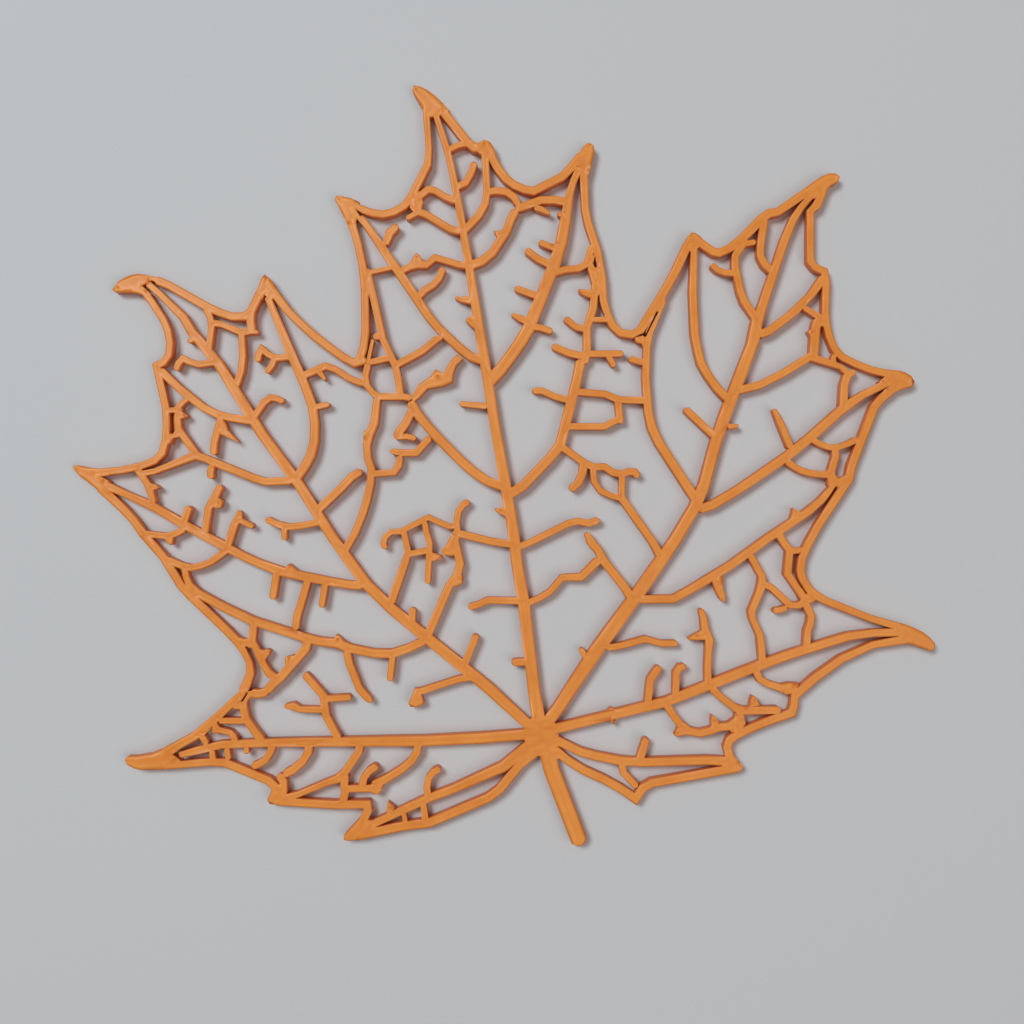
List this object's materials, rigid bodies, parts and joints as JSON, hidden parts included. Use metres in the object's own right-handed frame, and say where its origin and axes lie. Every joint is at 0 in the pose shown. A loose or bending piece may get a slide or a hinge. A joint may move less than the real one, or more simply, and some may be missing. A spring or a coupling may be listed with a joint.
{
  "type": "maple leaf ornament",
  "caption": "Flat openwork maple leaf with a stem, printed in one piece from orange plastic, its veins and edge left as thin ribs around open cells.",
  "frame": {"origin": "the hub where the main veins meet the stem, on the flat back face", "axes": "+Y from the hub up the midrib to the top tip, +X to the leaf's right as seen from the front, +Z out of the front face"},
  "size_m": [0.1173, 0.1081, 0.0016],
  "materials": {
    "orange_plastic": "satin"
  },
  "bodies": {
    "root": {"maple_leaf": "orange_plastic"}
  },
  "joints": []
}
